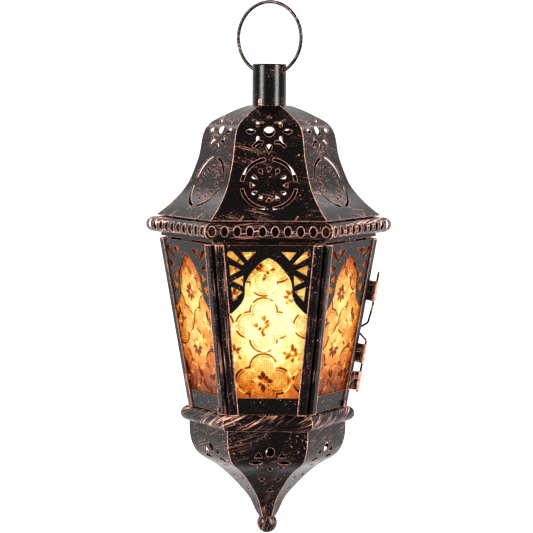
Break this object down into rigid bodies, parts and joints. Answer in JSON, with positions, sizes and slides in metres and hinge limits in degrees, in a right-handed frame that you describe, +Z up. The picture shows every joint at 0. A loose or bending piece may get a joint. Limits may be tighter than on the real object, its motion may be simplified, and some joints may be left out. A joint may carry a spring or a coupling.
{
  "type": "candle lantern",
  "caption": "Six-sided hanging candle lantern: pierced bell roof, tapered glazed faces with arched frets, a hinged door, pierced pendant and ball finial.",
  "frame": {"origin": "the inside top of the hanging ring, where a hook carries the lantern", "axes": "+Z up along the lantern's axis; the front face looks along -Y; the hinge stands on the +X corner"},
  "size_m": [0.1398, 0.121, 0.3052],
  "materials": {
    "roof_sheet": "satin black paint dry-brushed with copper",
    "band_metal": "satin black paint, copper rubbed on the crowns",
    "rail_metal": "satin black paint, copper rubbed on the folds",
    "fret_metal": "satin black paint",
    "pendant_sheet": "satin black paint dry-brushed with copper",
    "wire_metal": "black paint rubbed through to copper",
    "finial_metal": "black paint dry-brushed with copper",
    "fittings_metal": "black paint rubbed through to copper",
    "amber_glass": "pressed amber glass",
    "tealight_metal": "thin bright metal",
    "wax": "soft white wax",
    "wick": "cotton wick, charred"
  },
  "bodies": {
    "hanger": {"hang_ring": "wire_metal"},
    "casing": {"neck_tube": "roof_sheet", "roof_front": "roof_sheet", "roof_front_right": "roof_sheet", "roof_back_right": "roof_sheet", "roof_back": "roof_sheet", "roof_back_left": "roof_sheet", "roof_front_left": "roof_sheet", "upper_band_front": "band_metal", "upper_band_front_right": "band_metal", "upper_band_back_right": "band_metal", "upper_band_back": "band_metal", "upper_band_back_left": "band_metal", "upper_band_front_left": "band_metal", "top_collar": "fret_metal", "rails_front": "rail_metal", "rails_front_right": "rail_metal", "rails_back": "rail_metal", "rails_back_left": "rail_metal", "rails_front_left": "rail_metal", "fret_front": "fret_metal", "fret_front_right": "fret_metal", "fret_back": "fret_metal", "fret_back_left": "fret_metal", "fret_front_left": "fret_metal", "glass_front": "amber_glass", "glass_front_right": "amber_glass", "glass_back": "amber_glass", "glass_back_left": "amber_glass", "glass_front_left": "amber_glass", "floor_plate": "fret_metal", "candle_cup": "fittings_metal", "lower_band_front": "band_metal", "lower_band_front_right": "band_metal", "lower_band_back_right": "band_metal", "lower_band_back": "band_metal", "lower_band_back_left": "band_metal", "lower_band_front_left": "band_metal", "pendant_front": "pendant_sheet", "pendant_front_right": "pendant_sheet", "pendant_back_right": "pendant_sheet", "pendant_back": "pendant_sheet", "pendant_back_left": "pendant_sheet", "pendant_front_left": "pendant_sheet", "finial_ball": "finial_metal", "hinge_pin": "wire_metal", "hinge_knuckle_fixed": "fittings_metal", "latch_pivot": "fittings_metal", "solder_tabs": "fittings_metal"},
    "door": {"rails_back_right": "rail_metal", "fret_back_right": "fret_metal", "glass_back_right": "amber_glass", "door_knuckles": "fittings_metal", "door_stud": "fittings_metal"},
    "latch": {"latch_hook": "fittings_metal"},
    "tealight": {"tealight_cup": "tealight_metal", "tealight_wax": "wax", "tealight_wick": "wick"}
  },
  "joints": [
    {"name": "ring_swing", "type": "hinge", "parent": "hanger", "child": "casing", "pos_m": [0, 0, -0.0374], "axis": [0.866, -0.5, 0], "range_deg": [-90, 90]},
    {"name": "door_hinge", "type": "hinge", "parent": "casing", "child": "door", "pos_m": [0.05673, 0, -0.1887], "axis": [-0.1709, 0, -0.9853], "range_deg": [0, 115]},
    {"name": "latch_swing", "type": "hinge", "parent": "casing", "child": "latch", "pos_m": [0.02339, 0.05091, -0.1772], "axis": [-0.4926, -0.8533, 0.1709], "range_deg": [0, 90]},
    {"name": "tealight_lift", "type": "slide", "parent": "casing", "child": "tealight", "axis": [0, 0, 1], "range_m": [0, 0.012]}
  ]
}
